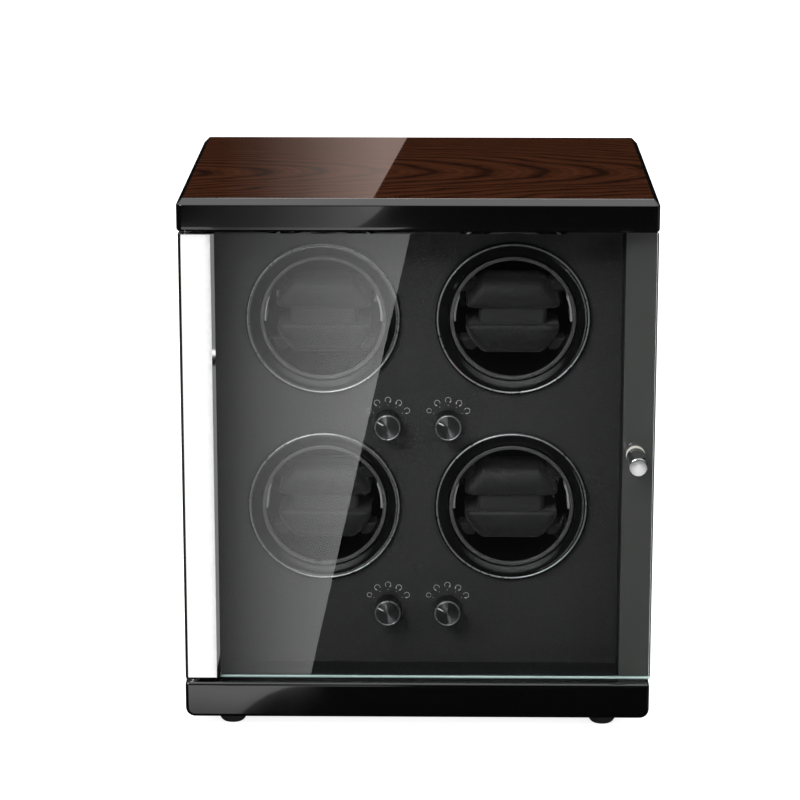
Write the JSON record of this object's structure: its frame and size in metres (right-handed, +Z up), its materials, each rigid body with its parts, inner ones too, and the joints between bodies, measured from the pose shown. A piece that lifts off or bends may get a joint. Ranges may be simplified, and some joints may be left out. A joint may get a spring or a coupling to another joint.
{
  "type": "watch winder box",
  "caption": "Upright display cabinet with a hinged glass door that keeps automatic watches wound in slowly turning round bays.",
  "frame": {"origin": "under the middle of the overall box, on the ground plane", "axes": "+Z up, -Y out of the front through the glass door, +X to the right as seen from the front"},
  "size_m": [0.25, 0.2176, 0.29],
  "materials": {
    "black_lacquer": "polished black lacquer over fibreboard",
    "walnut_veneer": "dark walnut veneer under clear high gloss lacquer",
    "raw_board": "plain fibreboard, out of sight",
    "black_leather": "fine grained black leather, matt",
    "holder_leather": "soft black leather over foam",
    "gloss_black": "glossy black moulding",
    "matte_black": "dark grey moulding",
    "white_plastic": "natural acetal",
    "chrome": "polished chrome",
    "black_anodised": "black anodised, spun front",
    "clear_glass": "clear float glass, polished edges",
    "steel": "zinc plated",
    "motor_metal": "plain drawn can",
    "brass": "turned brass",
    "rubber": "black rubber",
    "circuit_green": "green solder mask",
    "lead_red": "coloured lead insulation"
  },
  "bodies": {
    "root": {"top_panel": "black_lacquer", "top_veneer": "walnut_veneer", "base_panel": "black_lacquer", "side_panel_left": "black_lacquer", "side_panel_right": "black_lacquer", "back_panel": "black_lacquer", "face_board": "raw_board", "face_leather": "black_leather", "floor_liner": "black_leather", "rubber_feet": "rubber", "foot_screws": "steel", "back_screws": "steel", "dc_jack": "matte_black", "control_board": "circuit_green", "wiring": "lead_red", "pivot_bushes": "brass", "door_magnet": "steel", "gear_motors": "motor_metal", "selector_switches": "matte_black", "drive_belts": "rubber", "spindle_bushes": "brass", "bezel_ring_1": "gloss_black", "drum_housing_1": "matte_black", "bezel_ring_2": "gloss_black", "drum_housing_2": "matte_black", "bezel_ring_3": "gloss_black", "drum_housing_3": "matte_black", "bezel_ring_4": "gloss_black", "drum_housing_4": "matte_black"},
    "door": {"door_glass": "clear_glass", "door_rail": "chrome", "door_knob": "chrome", "knob_screw": "steel", "knob_washers": "white_plastic", "pivot_pins": "steel"},
    "rotor_1": {"rotor_cup_1": "gloss_black", "rotor_pulley_1": "white_plastic", "holder_frame_1": "holder_leather"},
    "jaw_1": {"holder_jaw_1": "holder_leather"},
    "motor_shaft_1": {"motor_pulley_1": "white_plastic"},
    "knob_1": {"selector_knob_1": "black_anodised"},
    "rotor_2": {"rotor_cup_2": "gloss_black", "rotor_pulley_2": "white_plastic", "holder_frame_2": "holder_leather"},
    "jaw_2": {"holder_jaw_2": "holder_leather"},
    "motor_shaft_2": {"motor_pulley_2": "white_plastic"},
    "knob_2": {"selector_knob_2": "black_anodised"},
    "rotor_3": {"rotor_cup_3": "gloss_black", "rotor_pulley_3": "white_plastic", "holder_frame_3": "holder_leather"},
    "jaw_3": {"holder_jaw_3": "holder_leather"},
    "motor_shaft_3": {"motor_pulley_3": "white_plastic"},
    "knob_3": {"selector_knob_3": "black_anodised"},
    "rotor_4": {"rotor_cup_4": "gloss_black", "rotor_pulley_4": "white_plastic", "holder_frame_4": "holder_leather"},
    "jaw_4": {"holder_jaw_4": "holder_leather"},
    "motor_shaft_4": {"motor_pulley_4": "white_plastic"},
    "knob_4": {"selector_knob_4": "black_anodised"}
  },
  "joints": [
    {"name": "door_hinge", "type": "hinge", "parent": "root", "child": "door", "pos_m": [-0.1205, -0.08425, 0.15], "axis": [0, 0, -1], "range_deg": [0, 110]},
    {"name": "rotor_spin_1", "type": "hinge", "parent": "root", "child": "rotor_1", "pos_m": [-0.0504, 0, 0.2198], "axis": [0, 1, 0], "continuous": true},
    {"name": "holder_squeeze_1", "type": "slide", "parent": "rotor_1", "child": "jaw_1", "axis": [0, 0, 1], "range_m": [0, 0.006], "stiffness_N_per_m": 300, "springref_m": -0.003},
    {"name": "motor_spin_1", "type": "hinge", "parent": "root", "child": "motor_shaft_1", "pos_m": [-0.0504, 0, 0.1858], "axis": [0, 1, 0], "continuous": true},
    {"name": "selector_turn_1", "type": "hinge", "parent": "root", "child": "knob_1", "pos_m": [-0.0161, 0, 0.1632], "axis": [0, 1, 0], "range_deg": [0, 120]},
    {"name": "rotor_spin_2", "type": "hinge", "parent": "root", "child": "rotor_2", "pos_m": [0.0504, 0, 0.2198], "axis": [0, 1, 0], "continuous": true},
    {"name": "holder_squeeze_2", "type": "slide", "parent": "rotor_2", "child": "jaw_2", "axis": [0, 0, 1], "range_m": [0, 0.006], "stiffness_N_per_m": 300, "springref_m": -0.003},
    {"name": "motor_spin_2", "type": "hinge", "parent": "root", "child": "motor_shaft_2", "pos_m": [0.0504, 0, 0.1858], "axis": [0, 1, 0], "continuous": true},
    {"name": "selector_turn_2", "type": "hinge", "parent": "root", "child": "knob_2", "pos_m": [0.0161, 0, 0.1632], "axis": [0, 1, 0], "range_deg": [0, 120]},
    {"name": "rotor_spin_3", "type": "hinge", "parent": "root", "child": "rotor_3", "pos_m": [-0.0504, 0, 0.1163], "axis": [0, 1, 0], "continuous": true},
    {"name": "holder_squeeze_3", "type": "slide", "parent": "rotor_3", "child": "jaw_3", "axis": [0, 0, 1], "range_m": [0, 0.006], "stiffness_N_per_m": 300, "springref_m": -0.003},
    {"name": "motor_spin_3", "type": "hinge", "parent": "root", "child": "motor_shaft_3", "pos_m": [-0.0504, 0, 0.0823], "axis": [0, 1, 0], "continuous": true},
    {"name": "selector_turn_3", "type": "hinge", "parent": "root", "child": "knob_3", "pos_m": [-0.0161, 0, 0.0597], "axis": [0, 1, 0], "range_deg": [0, 120]},
    {"name": "rotor_spin_4", "type": "hinge", "parent": "root", "child": "rotor_4", "pos_m": [0.0504, 0, 0.1163], "axis": [0, 1, 0], "continuous": true},
    {"name": "holder_squeeze_4", "type": "slide", "parent": "rotor_4", "child": "jaw_4", "axis": [0, 0, 1], "range_m": [0, 0.006], "stiffness_N_per_m": 300, "springref_m": -0.003},
    {"name": "motor_spin_4", "type": "hinge", "parent": "root", "child": "motor_shaft_4", "pos_m": [0.0504, 0, 0.0823], "axis": [0, 1, 0], "continuous": true},
    {"name": "selector_turn_4", "type": "hinge", "parent": "root", "child": "knob_4", "pos_m": [0.0161, 0, 0.0597], "axis": [0, 1, 0], "range_deg": [0, 120]}
  ],
  "couplings": [
    {"joint": "motor_spin_1", "follows": "rotor_spin_1", "ratio": 4},
    {"joint": "motor_spin_2", "follows": "rotor_spin_2", "ratio": 4},
    {"joint": "motor_spin_3", "follows": "rotor_spin_3", "ratio": 4},
    {"joint": "motor_spin_4", "follows": "rotor_spin_4", "ratio": 4}
  ]
}
